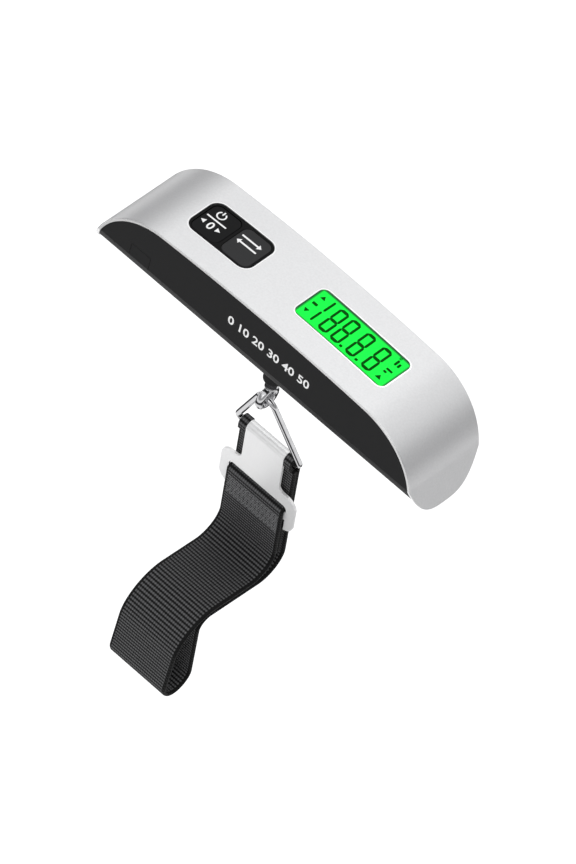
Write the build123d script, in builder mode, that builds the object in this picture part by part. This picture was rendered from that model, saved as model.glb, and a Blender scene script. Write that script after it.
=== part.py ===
# A hand-held luggage scale: an arched handle body with a display and two keys, a swivel eye under
# its middle, a triangular ring, and a webbing sling with a hook plate.
# Millimetres. X runs along the handle, Y across it, Z up out of the display.
# The origin is the middle of the belly's underside, where the fingers pull up.
import math
import os

from build123d import *

os.makedirs("parts", exist_ok=True)

# Handle body
length = 145.0  # over the ends of the cover, at the belly's level
width = 36.0
height = 33.1
top_radius = 700.0  # the long shallow arch
end_radius = 27.2
tail_angle = 72.4  # of the end tongues, from the horizontal
side_taper = 3.6  # each side leans in by this, going down
edge_height = 12.0  # where side wall and belly meet
belly_power = 3.1
cover_thickness = 1.05
side_step = 0.3  # the black sides sit this far inside the cover's edge
wall = 2.0
seat = 0.02  # between pieces that bear on each other
slack = 0.15  # round pieces that drop into an opening

# Display and keys
lcd_length, lcd_width, lcd_x = 39.2, 15.7, 22.46
keys_length, keys_width, keys_x = 26.9, 16.6, -30.5
window_round, keys_round = 2.5, 4.0
key_travel = 0.6
rim = 0.8
frame_bar = 1.0

# Board and what is on it
deck = height - cover_thickness - wall  # the underside of the shell's deck, over the middle
board_top = deck - 4.45
board_thickness = 1.6
board_end_left, board_end_right, board_half = -45.0, 50.4, 12.0
switch_size, switch_height = 6.0, 3.4
stem_height = 4.2

# Load cell
cell_length, cell_width, cell_height, cell_base = 64.0, 12.0, 6.0, 14.0
cell_foot = 27.0
cell_hole = 14.0

# Battery and its door
coin_radius, coin_height, coin_x, coin_base = 10.0, 3.2, -50.7, 7.0
door_left, door_right, door_side = -61.5, -40.5, 11.5
door_wall = 1.8
tab_left, tab_right, tab_height = -54.8, -46.6, 5.5

# Swivel eye
boss_radius, boss_drop = 3.9, 10.0
shaft_radius = 2.0
shaft_fit = 0.05  # radial running fit in the load cell
eye_radius, eye_wire, eye_drop = 3.6, 1.4, 18.0

# Triangular ring
ring_wire = 1.1
ring_half, ring_tall = 14.2, 37.5  # of its centreline, with sharp corners
ring_top_round, ring_corner_round = 3.6, 1.6
ring_swing = 20.0  # it hangs back by this

# Sling
strap_width, strap_thick = 25.0, 1.2
plate_tilt = 9.9
plate_thick, plate_length = 0.9, 28.8  # the length is from the ring's base to the strap's bar
tongue_width = 16.8
ears_width, ears_tall, ears_up = 33.0, 18.4, 1.9
slot_length, slot_tall, bar_tall = 25.8, 3.6, 3.5
layer = 0.1  # between two layers of webbing
sewn = 22.0


def arch_centre():
    """The centre of the right end's arc, tangent to the tail and to the top arc."""
    lean = math.radians(tail_angle)
    x0 = length / 2 - end_radius * math.sin(lean)
    z0 = -end_radius * math.cos(lean) - (height - top_radius)
    half_b = -x0 * math.cos(lean) + z0 * math.sin(lean)
    c = x0 * x0 + z0 * z0 - (top_radius - end_radius) ** 2
    along = -half_b + math.sqrt(half_b * half_b - c)
    return (
        x0 - along * math.cos(lean),
        along * math.sin(lean) - end_radius * math.cos(lean),
    )


arch_x, arch_z = arch_centre()


def arch_height(x, inset):
    """The height of the arch's surface over x, as far in as inset."""
    if abs(x) < arch_x:
        return height - top_radius + math.sqrt((top_radius - inset) ** 2 - x * x)
    return arch_z + math.sqrt((end_radius - inset) ** 2 - (abs(x) - arch_x) ** 2)


def arch_face(inset):
    """Draws the arch's side view in the sketch that is open, closed along the belly's level."""
    lean = math.radians(tail_angle)
    small = end_radius - inset
    away = math.hypot(arch_x, arch_z - (height - top_radius))
    toward = (arch_x / away, (arch_z - height + top_radius) / away)
    join = (arch_x + small * toward[0], arch_z + small * toward[1])
    tail = (arch_x + small * math.sin(lean), arch_z + small * math.cos(lean))
    middle = math.atan2(toward[1], toward[0]) / 2 + (math.pi / 2 - lean) / 2
    bend = (arch_x + small * math.cos(middle), arch_z + small * math.sin(middle))
    foot = (tail[0] + tail[1] / math.tan(lean), 0.0)
    with BuildLine() as outline:
        ThreePointArc((-join[0], join[1]), (0, height - inset), join)
        ThreePointArc(join, bend, tail)
        Line(tail, foot)
        Line(foot, (-foot[0], 0))
        Line((-foot[0], 0), (-tail[0], tail[1]))
        ThreePointArc((-tail[0], tail[1]), (-bend[0], bend[1]), (-join[0], join[1]))
    make_face(outline.edges())


def half_width(z):
    return width / 2 - (height - z) * math.tan(math.radians(side_taper))


def section_face(inset):
    """Draws the body's cross-section: two leaning walls over a belly that is flat below and turns up
    steeply at the sides. Its height goes with the distance from the middle to a power."""
    low, high = half_width(edge_height) - inset, half_width(height) - inset
    steps = 12
    belly = []
    for i in range(steps + 1):
        share = -math.cos(math.pi * i / steps)
        rise = (edge_height - inset) * abs(share) ** belly_power
        belly.append((low * share, inset + rise))
    with BuildLine() as outline:
        Spline(*belly)
        Line((low, edge_height), (high, height))
        Line((high, height), (high, height + 5))
        Line((high, height + 5), (-high, height + 5))
        Line((-high, height + 5), (-high, height))
        Line((-high, height), (-low, edge_height))
    make_face(outline.edges())


def body_block(arch_inset, section_inset):
    """Adds the body's outline to the part that is open, as far in as the two insets."""
    with BuildSketch(Plane.XZ) as side_view:
        arch_face(arch_inset)
    extrude(side_view.sketch, amount=width, both=True)
    with BuildSketch(Plane.YZ) as end_view:
        section_face(section_inset)
    extrude(end_view.sketch, amount=length, both=True, mode=Mode.INTERSECT)


under_cover = cover_thickness + seat
with BuildPart() as outer_block:
    body_block(under_cover, side_step)
with BuildPart() as cavity_block:
    body_block(under_cover + wall, side_step + wall)
with BuildPart() as door_cavity:
    body_block(under_cover + wall, side_step + door_wall)


def slab(x0, x1, y0, y1, z0, z1, mode=Mode.ADD):
    """A plain block between the given planes."""
    with BuildSketch(Plane(((x0 + x1) / 2, (y0 + y1) / 2, z0))) as flat:
        Rectangle(x1 - x0, y1 - y0)
    extrude(flat.sketch, amount=z1 - z0, mode=mode)


def post(x, y, z0, z1, radius, mode=Mode.ADD):
    """An upright cylinder between two heights."""
    with BuildSketch(Plane((x, y, z0))) as flat:
        Circle(radius)
    extrude(flat.sketch, amount=z1 - z0, mode=mode)


def window(x, long, wide, radius, z0, z1, mode=Mode.ADD):
    """An upright block with rounded corners, centred across the body."""
    with BuildSketch(Plane((x, 0, z0))) as flat:
        RectangleRounded(long, wide, radius)
    extrude(flat.sketch, amount=z1 - z0, mode=mode)


def save(part, name):
    part.part.label = name
    export_step(part.part, "parts/" + name + ".step")


# ---- Cover: one bent sheet with a window for the display and one for the keys ----
with BuildPart() as top_cover:
    body_block(0, 0)
    with BuildSketch(Plane.XZ):
        arch_face(cover_thickness)
    extrude(amount=width, both=True, mode=Mode.SUBTRACT)
    window(lcd_x, lcd_length, lcd_width, window_round, 20, 40, Mode.SUBTRACT)
    window(keys_x, keys_length, keys_width, keys_round, 20, 40, Mode.SUBTRACT)
save(top_cover, "top_cover")

# ---- Upper shell: the black sides and the deck under the cover, with its posts ----
board_base = board_top - board_thickness
board_posts = [(-10.0, 9.0), (-10.0, -9.0), (47.5, 9.0), (47.5, -9.0)]
shell_posts = [(-36.5, 7.0), (-36.5, -7.0), (54.0, 7.0), (54.0, -7.0)]
holder_posts = [(-57.5, 8.0), (-57.5, -8.0)]
holder_top = 13.6
screw_radius = 1.1
with BuildPart() as upper_shell:
    add(outer_block.part)
    add(cavity_block.part, mode=Mode.SUBTRACT)
    slab(-length, length, -width, width, -20, edge_height, Mode.SUBTRACT)
    window(lcd_x, lcd_length + 1.0, lcd_width + 1.0, window_round, 20, 40, Mode.SUBTRACT)
    window(keys_x, keys_length - 2 * slack, keys_width - 2 * slack, keys_round, 20, 40, Mode.SUBTRACT)
    for x, y in board_posts:
        post(x, y, board_top + seat, arch_height(abs(x) + 2.2, under_cover + wall / 2), 2.2)
    for x, y in shell_posts:
        rib = math.copysign(half_width(edge_height) - side_step - wall / 2, y)
        slab(x - 1.2, x + 1.2, min(y, rib), max(y, rib), edge_height, board_base - 2.5)
        post(x, y, edge_height, board_base - 1.5, 2.8)
    for x, y in holder_posts:
        post(x, y, holder_top + seat, arch_height(abs(x) + 2.4, under_cover + wall / 2), 2.4)
    for x, y in board_posts:
        post(x, y, board_top - 1, board_top + 3.0, screw_radius - 0.1, Mode.SUBTRACT)
    for x, y in shell_posts:
        post(x, y, edge_height - 1, edge_height + 7.0, screw_radius, Mode.SUBTRACT)
    for x, y in holder_posts:
        post(x, y, holder_top - 1, holder_top + 5.0, screw_radius, Mode.SUBTRACT)
    slab(tab_left - slack, tab_right + slack, -width, -half_width(edge_height) + 4.5,
         edge_height - 1, edge_height + tab_height + slack, Mode.SUBTRACT)
save(upper_shell, "upper_shell")

# ---- Belly: the lower case with the eye's boss, the load cell's feet and the battery's opening ----
boss_bore = shaft_radius + 0.5
with BuildPart() as belly_case:
    add(outer_block.part)
    add(cavity_block.part, mode=Mode.SUBTRACT)
    slab(-length, length, -width, width, edge_height - seat, 60, Mode.SUBTRACT)
    with BuildSketch(Plane((0, 0, 4.0), z_dir=(0, 0, -1))):
        Circle(boss_radius)
    extrude(amount=4.0 + boss_drop, taper=2.0)
    fillet(belly_case.faces().sort_by(Axis.Z)[0].edges(), 1.3)
    post(0, 0, -20, 10, boss_bore, Mode.SUBTRACT)
    for side in (-1, 1):
        slab(side * cell_foot - 4.5, side * cell_foot + 4.5, -5.5, 5.5, 1.5, cell_base - seat)
        post(side * cell_foot, 0, 6, cell_base, 1.4, Mode.SUBTRACT)
    for x, y in shell_posts:
        post(x, y, 3.4, edge_height - seat, 2.8)
    for x, y in shell_posts:
        post(x, y, -1, edge_height + 1, screw_radius + 0.2, Mode.SUBTRACT)
        post(x, y, -1, 4.4, screw_radius + 1.1, Mode.SUBTRACT)
    slab(door_left - slack, door_right + slack, -width, door_side + slack, -5, edge_height, Mode.SUBTRACT)
save(belly_case, "belly_case")

# ---- Battery door: a piece of the belly with a finger tab up the side ----
with BuildPart() as finger_tab:
    add(outer_block.part)
    add(door_cavity.part, mode=Mode.SUBTRACT)
    slab(tab_left, tab_right, -width, -half_width(edge_height) + 4, edge_height - 2,
         edge_height + tab_height, Mode.INTERSECT)
with BuildPart() as battery_door:
    add(outer_block.part)
    add(door_cavity.part, mode=Mode.SUBTRACT)
    slab(door_left, door_right, -width, door_side, -5, edge_height - seat, Mode.INTERSECT)
    add(finger_tab.part)
save(battery_door, "battery_door")


# ---- Keys: a frame in the cover's window, and two keys held under it by a lip ----
opening_long = (keys_length - 2 * slack - 2 * rim - frame_bar) / 2
opening_wide = keys_width - 2 * slack - 2 * rim
opening_step = (opening_long + frame_bar) / 2
frame_base = deck - 2.65
with BuildPart() as frame_rim:
    body_block(0.25, side_step)
    window(keys_x, keys_length - 2 * slack - 2 * seat, keys_width - 2 * slack - 2 * seat, keys_round,
           frame_base, 40, Mode.INTERSECT)
with BuildPart() as button_frame:
    body_block(under_cover + wall + seat, side_step + wall)
    window(keys_x, keys_length + 3, keys_width + 3, keys_round, frame_base, 40, Mode.INTERSECT)
    add(frame_rim.part)
    for side in (-1, 1):
        window(keys_x + side * opening_step, opening_long, opening_wide, keys_round - rim - 0.4,
               20, 40, Mode.SUBTRACT)
save(button_frame, "button_frame")

stem_top = board_top + stem_height
lip_top = frame_base - 0.1
for side, name in ((-1, "power"), (1, "unit")):
    key_x = keys_x + side * opening_step
    with BuildPart() as key:
        body_block(0.35 if side < 0 else 0.1, side_step)
        window(key_x, opening_long - 2 * slack, opening_wide - 2 * slack, keys_round - rim - 0.6,
               lip_top - 0.8, 40, Mode.INTERSECT)
        fillet(key.faces().sort_by(Axis.Z)[-1].edges(), 0.35)
        slab(key_x - opening_long / 2 + 0.2, key_x + opening_long / 2 - 0.2,
             -opening_wide / 2 - 0.7, opening_wide / 2 + 0.7, lip_top - 0.8, lip_top)
        slab(key_x - 4.2, key_x + 4.2, -4.2, 4.2, 20, stem_top + seat, Mode.SUBTRACT)
    save(key, name + "_key")
    with BuildPart() as stem:
        post(key_x, 0, stem_top - 2.4, stem_top, 1.7)
        fillet(stem.faces().sort_by(Axis.Z)[-1].edges(), 0.3)
    save(stem, name + "_stem")

with BuildPart() as tact_switches:
    for side in (-1, 1):
        key_x = keys_x + side * opening_step
        half = switch_size / 2
        slab(key_x - half, key_x + half, -half, half, board_top + seat, board_top + switch_height)
        post(key_x, 0, stem_top - 2.4 - key_travel - 0.3, 40, 1.8, Mode.SUBTRACT)
save(tact_switches, "tact_switches")

# ---- Display: a stepped window under the cover, and the panel stack on the board ----
with BuildPart() as window_step:
    add(outer_block.part)
    window(lcd_x, lcd_length + 1.0 - 2 * slack, lcd_width + 1.0 - 2 * slack, window_round, 20, 40,
           Mode.INTERSECT)
with BuildPart() as lcd_window:
    body_block(0.3, side_step)
    window(lcd_x, lcd_length - 2 * slack, lcd_width - 2 * slack, window_round - slack, 20, 40,
           Mode.INTERSECT)
    add(window_step.part)
    with BuildSketch(Plane.XZ):
        arch_face(2.2)
    extrude(amount=width, both=True, mode=Mode.SUBTRACT)
save(lcd_window, "lcd_window")

glass_base, glass_top = board_top + 1.05, board_top + 2.65
with BuildPart() as lcd_frame:
    slab(lcd_x - 22.3, lcd_x + 22.3, -11.1, 11.1, board_top + seat, glass_top + 0.05)
    slab(lcd_x - 21.2, lcd_x + 21.2, -10.0, 10.0, board_top - 1, 40, Mode.SUBTRACT)
save(lcd_frame, "lcd_frame")
with BuildPart() as lcd_glass:
    slab(lcd_x - 21.1, lcd_x + 21.1, -9.9, 9.9, glass_base, glass_top)
save(lcd_glass, "lcd_glass")
with BuildPart() as backlight:
    slab(lcd_x - 20.4, lcd_x + 20.4, -8.3, 8.3, board_top + seat, glass_base - seat)
save(backlight, "backlight")
with BuildPart() as zebra_strips:
    for side in (-1, 1):
        slab(lcd_x - 18, lcd_x + 18, side * 9.2 - 0.5, side * 9.2 + 0.5, board_top + seat,
             glass_base - seat)
save(zebra_strips, "zebra_strips")

# ---- Board ----
with BuildPart() as circuit_board:
    slab(board_end_left, board_end_right, -board_half, board_half, board_base, board_top)
    for x, y in board_posts:
        post(x, y, 20, 30, 1.2, Mode.SUBTRACT)
save(circuit_board, "circuit_board")
with BuildPart() as controller_chip:
    post(-5.8, 0, board_top + seat, board_top + 1.2, 3.6)
    fillet(controller_chip.faces().sort_by(Axis.Z)[-1].edges(), 0.9)
save(controller_chip, "controller_chip")


def screw(x, y, seat_z, tip, radius, head_radius, head_height):
    """An upright screw whose head bears on a face at seat_z from the side away from its tip."""
    way = 1 if tip > seat_z else -1
    low, high = sorted((seat_z - way * 0.3, tip))
    post(x, y, low, high, radius)
    low, high = sorted((seat_z - way * seat, seat_z - way * head_height))
    post(x, y, low, high, head_radius)
    low, high = sorted((seat_z - way * (head_height + 1), seat_z - way * (head_height - 0.6)))
    slab(x - head_radius * 0.7, x + head_radius * 0.7, y - 0.25, y + 0.25, low, high, Mode.SUBTRACT)


with BuildPart() as board_screws:
    for x, y in board_posts:
        screw(x, y, board_base, board_top + 2.8, screw_radius - 0.15, 1.9, 1.2)
save(board_screws, "board_screws")
with BuildPart() as housing_screws:
    for x, y in shell_posts:
        screw(x, y, 4.4, edge_height + 6.5, screw_radius - 0.05, 2.0, 1.5)
save(housing_screws, "housing_screws")

# ---- Load cell: a beam on two feet, pulled down in the middle by the eye's shaft ----
cell_top = cell_base + cell_height
with BuildPart() as load_cell:
    slab(-cell_length / 2, cell_length / 2, -cell_width / 2, cell_width / 2, cell_base, cell_top)
    for side in (-1, 1):
        with BuildSketch(Plane((side * cell_hole, -cell_width, (cell_base + cell_top) / 2),
                               z_dir=(0, 1, 0))):
            Circle(1.9)
        extrude(amount=2 * cell_width, mode=Mode.SUBTRACT)
        post(side * cell_foot, 0, 10, 25, 1.6, Mode.SUBTRACT)
    post(0, 0, 10, 25, shaft_radius + shaft_fit, Mode.SUBTRACT)
save(load_cell, "load_cell")
with BuildPart() as load_cell_screws:
    for side in (-1, 1):
        screw(side * cell_foot, 0, cell_top, 8.0, 1.35, 2.6, 2.4)
save(load_cell_screws, "load_cell_screws")
with BuildPart() as strain_gauges:
    for side in (-1, 1):
        middle = side * cell_hole
        slab(middle - 3, middle + 3, -2, 2, cell_top + seat, cell_top + 0.3)
        slab(middle - 3, middle + 3, -2, 2, cell_base - 0.3, cell_base - seat)
save(strain_gauges, "strain_gauges")
with BuildPart() as gauge_leads:
    for side in (-1, 1):
        post(side * cell_hole, 1.0, cell_top + 0.32, board_base - seat, 0.35)
        post(side * cell_hole, -1.0, cell_top + 0.32, board_base - seat, 0.35)
save(gauge_leads, "gauge_leads")

# ---- Battery ----
holder_base = 11.2
with BuildPart() as coin_cell:
    post(coin_x, 0, coin_base, coin_base + coin_height, coin_radius)
    fillet(coin_cell.faces().sort_by(Axis.Z)[0].edges(), 0.5)
save(coin_cell, "coin_cell")
with BuildPart() as battery_holder:
    slab(coin_x - 11.3, coin_x + 11.3, -12.6, 12.6, holder_base, holder_top)
    post(coin_x, 0, coin_base + 0.2, holder_base, coin_radius + 1.2)
    post(coin_x, 0, 0, holder_base, coin_radius + slack, Mode.SUBTRACT)
    slab(coin_x + 9.8, coin_x + 10.6, -2.1, 2.1, 5, 20, Mode.SUBTRACT)
    post(coin_x, 0, 5, 20, 0.9, Mode.SUBTRACT)
    for x, y in holder_posts:
        post(x, y, 5, 20, 1.2, Mode.SUBTRACT)
        post(x, y, 5, holder_base + 1.3, 2.1, Mode.SUBTRACT)
save(battery_holder, "battery_holder")
with BuildPart() as holder_screws:
    for x, y in holder_posts:
        screw(x, y, holder_base + 1.3, holder_top + 4.5, screw_radius - 0.05, 1.9, 1.2)
save(holder_screws, "holder_screws")
with BuildPart() as battery_contacts:
    slab(coin_x - 4, coin_x + 4, -1.5, 1.5, coin_base + coin_height + seat, holder_base - seat)
    slab(coin_x + 10.02, coin_x + 10.5, -2, 2, coin_base + 0.4, holder_top + 0.4)
save(battery_contacts, "battery_contacts")
with BuildPart() as battery_leads:
    post(coin_x + 10.26, 0, holder_top + 0.42, board_base - seat, 0.4)
    with BuildLine():
        lead = FilletPolyline((coin_x, 0, holder_base), (coin_x, 0, 18.0), (-43.5, 0, 18.0),
                              (-43.5, 0, board_base - seat), radius=2.0)
    with BuildSketch(Plane(lead @ 0, z_dir=lead % 0)):
        Circle(0.4)
    sweep()
save(battery_leads, "battery_leads")

# ---- Swivel eye: its shaft hangs from a nut and washer on the load cell ----
washer_top = cell_top + 0.6
nut_top = cell_top + 2.9
with BuildPart() as hook_eye:
    post(0, 0, -eye_drop + eye_radius, nut_top, shaft_radius)
    with BuildSketch(Plane((0, 0, -eye_drop), x_dir=(1, 0, 0), z_dir=(0, -1, 0))) as bead:
        with Locations((0, eye_radius)):
            Circle(eye_wire)
    revolve(bead.sketch, axis=Axis((0, 0, -eye_drop), (1, 0, 0)))
save(hook_eye, "hook_eye")
with BuildPart() as thrust_washer:
    post(0, 0, cell_top + seat, washer_top, 4.2)
    post(0, 0, 0, 40, shaft_radius + seat, Mode.SUBTRACT)
save(thrust_washer, "thrust_washer")
with BuildPart() as eye_nut:
    with BuildSketch(Plane((0, 0, washer_top + seat))):
        RegularPolygon(3.9, 6)
    extrude(amount=nut_top - washer_top - seat)
    post(0, 0, 0, 40, shaft_radius + seat, Mode.SUBTRACT)
save(eye_nut, "eye_nut")
with BuildPart() as boss_bushing:
    post(0, 0, -boss_drop + 0.6, -3.0, boss_bore - seat)
    post(0, 0, -20, 10, shaft_radius + 0.06, Mode.SUBTRACT)
save(boss_bushing, "boss_bushing")

# ---- Triangular ring: one bent wire whose top rests in the eye ----
half_angle = math.atan(ring_half / ring_tall)
above = ring_top_round / math.sin(half_angle) - ring_top_round
drop = ring_tall - above  # from the wire's middle at the top to its middle at the base
hang_z = -eye_drop - (eye_radius - eye_wire - ring_wire) + 0.05
lean_back = math.radians(ring_swing)
ring_plane = Plane((0, 0, hang_z), x_dir=(1, 0, 0),
                   z_dir=(0, -math.cos(lean_back), -math.sin(lean_back)))
with BuildPart() as triangle_ring:
    with BuildLine(ring_plane):
        wire = FilletPolyline((0, -drop), (ring_half, -drop), (0, above), (-ring_half, -drop),
                              close=True, radius=(0, ring_corner_round, ring_top_round,
                                                  ring_corner_round))
    with BuildSketch(Plane(wire @ 0, z_dir=wire % 0)):
        Circle(ring_wire)
    sweep()
save(triangle_ring, "triangle_ring")

# ---- Sling: the hook plate and the webbing, both drawn from the middle of the ring's base ----
base_y = drop * math.sin(lean_back)
base_z = hang_z - drop * math.cos(lean_back)
tilt = math.radians(plate_tilt)
front = (-math.cos(tilt), -math.sin(tilt))  # out of the plate's face, in Y and Z
down = (math.sin(tilt), -math.cos(tilt))
plate_out = ring_wire + layer + plate_thick / 2


def from_base(out, along):
    """A point beside the ring's base: out of the plate's face, and down along the plate."""
    return (base_y + out * front[0] + along * down[0], base_z + out * front[1] + along * down[1])


bar_y, bar_z = from_base(plate_out, plate_length)
roll_inner = ring_wire + layer
roll_outer = roll_inner + plate_thick
with BuildPart() as hook_plate:
    with BuildSketch(Plane((0, bar_y, bar_z), x_dir=(1, 0, 0), z_dir=(0, front[0], front[1]))):
        with Locations((0, ears_up)):
            RectangleRounded(ears_width, ears_tall, 4.6)
        with Locations((0, (ears_up + plate_length) / 2)):
            Rectangle(tongue_width, plate_length - ears_up)
        with Locations((0, bar_tall / 2 + slot_tall / 2)):
            SlotOverall(slot_length, slot_tall, mode=Mode.SUBTRACT)
        with Locations((0, -bar_tall / 2 - 6)):
            Rectangle(slot_length, 12, mode=Mode.SUBTRACT)
    extrude(amount=plate_thick / 2, both=True)
    with BuildSketch(Plane((-tongue_width / 2, base_y, base_z), x_dir=(0, front[0], front[1]),
                           z_dir=(1, 0, 0))):
        Circle(roll_outer)
        Circle(roll_inner, mode=Mode.SUBTRACT)
        with Locations((0, 10)):
            Rectangle(20, 20, mode=Mode.SUBTRACT)
        with Locations((-(roll_inner + roll_outer) / 2, 0.6)):
            Rectangle(plate_thick, 1.2)
        with Locations(((roll_inner + roll_outer) / 2, 1.0)):
            Rectangle(plate_thick, 2.0)
    extrude(amount=tongue_width)
    root = hook_plate.edges().filter_by_position(Axis.X, -tongue_width / 2 - 0.1, tongue_width / 2 + 0.1)
    corners = [e for e in root if abs(e.length - plate_thick) < 0.01
               and abs(e.center().Z - bar_z) < ears_up + ears_tall / 2 + 0.5
               and abs(abs(e.center().X) - tongue_width / 2) < 0.05]
    fillet(corners, 2.4)
save(hook_plate, "hook_plate")

loop_out = ring_wire + layer + strap_thick / 2
pass_out = plate_thick / 2 + layer + strap_thick / 2
tail_gap = strap_thick + 0.13
bar_front, bar_back = plate_out + pass_out + 0.05, plate_out - pass_out - 0.05
bar_loop_top = plate_length - bar_tall / 2 - 1.4
front_corner = (18.2, -109.0)
lug_edge = 11.7  # the webbing is pinched to this half width where it passes the ring's corners
with BuildPart() as webbing_strap:
    with BuildSketch(Plane.YZ):
        with BuildLine() as run:
            FilletPolyline(
                from_base(bar_front - tail_gap, plate_length + sewn),
                from_base(bar_front - tail_gap, plate_length + 7.0),
                from_base(bar_back, plate_length + 4.4),
                from_base(bar_back, bar_loop_top),
                from_base(bar_front, bar_loop_top),
                front_corner,
                (-26.0, -105.9), (-25.5, -144.3), (-12.0, -144.3), (-17.4, -108.5),
                (23.4, -111.4),
                from_base(-loop_out, -loop_out),
                from_base(loop_out, -loop_out),
                from_base(loop_out, 2.2),
                from_base(-loop_out + tail_gap, 6.0),
                from_base(-loop_out + tail_gap, plate_length - bar_tall / 2 - 3.2),
                radius=(2.0, 2.0, bar_front / 2 - bar_back / 2 - 0.05, bar_front / 2 - bar_back / 2 - 0.05,
                        9.0, 11.5, 6.0, 6.0, 4.5, 9.0, loop_out - 0.05, loop_out - 0.05, 1.0, 1.5))
        trace(line_width=strap_thick)
    extrude(amount=strap_width / 2, both=True)
    with BuildSketch(Plane((0, base_y, base_z), x_dir=(1, 0, 0), z_dir=(0, front[0], front[1]))):
        Rectangle(tongue_width + 0.5, 13.0)
        with Locations((-lug_edge - 5, 0), (lug_edge + 5, 0)):
            Rectangle(10, 9.0)
    extrude(amount=6, both=True, mode=Mode.SUBTRACT)
save(webbing_strap, "webbing_strap")
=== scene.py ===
import math

import bmesh
import bpy
import numpy as np
from mathutils import Matrix, Vector


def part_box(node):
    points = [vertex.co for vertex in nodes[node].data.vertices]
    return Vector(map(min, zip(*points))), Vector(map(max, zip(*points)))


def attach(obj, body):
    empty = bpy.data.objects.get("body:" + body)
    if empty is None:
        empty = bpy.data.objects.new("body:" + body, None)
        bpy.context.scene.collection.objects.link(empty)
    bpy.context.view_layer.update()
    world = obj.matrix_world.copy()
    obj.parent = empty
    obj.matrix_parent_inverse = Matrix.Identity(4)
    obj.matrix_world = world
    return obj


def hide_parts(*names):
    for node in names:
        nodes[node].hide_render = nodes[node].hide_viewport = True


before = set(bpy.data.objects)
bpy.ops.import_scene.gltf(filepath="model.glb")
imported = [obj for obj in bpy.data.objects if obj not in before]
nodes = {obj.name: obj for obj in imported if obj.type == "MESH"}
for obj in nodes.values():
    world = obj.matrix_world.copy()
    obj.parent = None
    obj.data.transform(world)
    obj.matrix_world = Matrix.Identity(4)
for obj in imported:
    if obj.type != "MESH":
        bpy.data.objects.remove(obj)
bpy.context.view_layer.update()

# The handle's shape, as the solids have it. Lengths are in metres, angles in degrees.
body = {
    "length": 0.145,
    "width": 0.036,
    "height": 0.0331,
    "topRadius": 0.7,
    "endRadius": 0.0272,
    "tailAngle": 72.4,
    "sideTaper": 3.6,
    "edgeHeight": 0.012,
    "bellyPower": 3.1,
    "coverThickness": 0.00105,
    "sideStep": 0.0003,
}


def archLine(inset, count):
    # evenly spaced points down the arch's right half in the XZ plane, as far in as inset: the shallow
    # arc, the end arc that touches it from inside, and a straight run down to the base
    lean = math.radians(body["tailAngle"])
    x0 = body["length"] / 2 - body["endRadius"] * math.sin(lean)
    z0 = -body["endRadius"] * math.cos(lean) - (body["height"] - body["topRadius"])
    halfB = -x0 * math.cos(lean) + z0 * math.sin(lean)
    c = x0 * x0 + z0 * z0 - (body["topRadius"] - body["endRadius"]) ** 2
    along = -halfB + math.sqrt(halfB * halfB - c)
    cx = x0 - along * math.cos(lean)
    cz = along * math.sin(lean) - body["endRadius"] * math.cos(lean)
    turn = math.atan2(cx, cz - body["height"] + body["topRadius"])
    small, large = body["endRadius"] - inset, body["topRadius"] - inset
    a = np.linspace(0, turn, 60)
    top = np.c_[large * np.sin(a), body["height"] - body["topRadius"] + large * np.cos(a)]
    a = np.linspace(turn, lean, 80)[1:]
    bend = np.c_[cx + small * np.sin(a), cz + small * np.cos(a)]
    foot = bend[-1] + np.array([1 / math.tan(lean), -1]) * bend[-1][1]
    line = np.r_[top, bend, [foot]]
    return spaced(line, count)


def spaced(line, count):
    # the same line with its points evenly spaced
    step = np.r_[0, np.cumsum(np.linalg.norm(np.diff(line, axis=0), axis=1))]
    at = np.linspace(0, step[-1], count)
    return np.c_[tuple(np.interp(at, step, line[:, k]) for k in range(line.shape[1]))]


def halfWidth(z):
    return body["width"] / 2 - (body["height"] - z) * math.tan(math.radians(body["sideTaper"]))


def archHeight(x, inset=0.0):
    line = archLine(inset, 900)
    return np.interp(np.abs(x), line[:, 0], line[:, 1])


def makeMesh(name, points, faces, rideOn, slot, material, smooth=True, uv=None):
    # a closed piece; one with uv also has its doubled points merged
    mesh = bpy.data.meshes.new(name)
    mesh.from_pydata([tuple(p) for p in points], [], [tuple(f) for f in faces])
    if uv is not None:
        layer = mesh.uv_layers.new(name="UVMap")
        loops = np.empty(len(mesh.loops), dtype=int)
        mesh.loops.foreach_get("vertex_index", loops)
        layer.data.foreach_set("uv", uv[loops].astype(np.float32).ravel())
    bm = bmesh.new()
    bm.from_mesh(mesh)
    if uv is not None:
        bmesh.ops.remove_doubles(bm, verts=bm.verts, dist=2e-6)
        bmesh.ops.dissolve_degenerate(bm, edges=bm.edges, dist=1e-7)
    bmesh.ops.recalc_face_normals(bm, faces=bm.faces)
    bm.to_mesh(mesh)
    bm.free()
    mesh.polygons.foreach_set("use_smooth", [smooth] * len(mesh.polygons))
    mesh.materials.append(material)
    obj = bpy.data.objects.new(name, mesh)
    bpy.context.scene.collection.objects.link(obj)
    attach(obj, rideOn)
    return obj


def join(parts):
    # several (points, faces) as one
    points, faces, base = [], [], 0
    for p, f in parts:
        points.append(np.asarray(p, float))
        faces += [tuple(i + base for i in g) for g in f]
        base += len(p)
    return np.concatenate(points), faces


def sleeve(rows, across, closed=False):
    # faces over rows of points that each run round a section; closed joins the last row to the first
    index = np.arange(rows * across).reshape(rows, across)
    following = np.roll(index, -1, 0)
    if not closed:
        index, following = index[:-1], following[:-1]
    cells = np.stack([index, np.roll(index, -1, 1), np.roll(following, -1, 1), following], -1)
    faces = cells.reshape(-1, 4).tolist()
    if not closed:
        faces.append(list(range(across))[::-1])
        faces.append(list(range((rows - 1) * across, rows * across)))
    return faces


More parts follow.
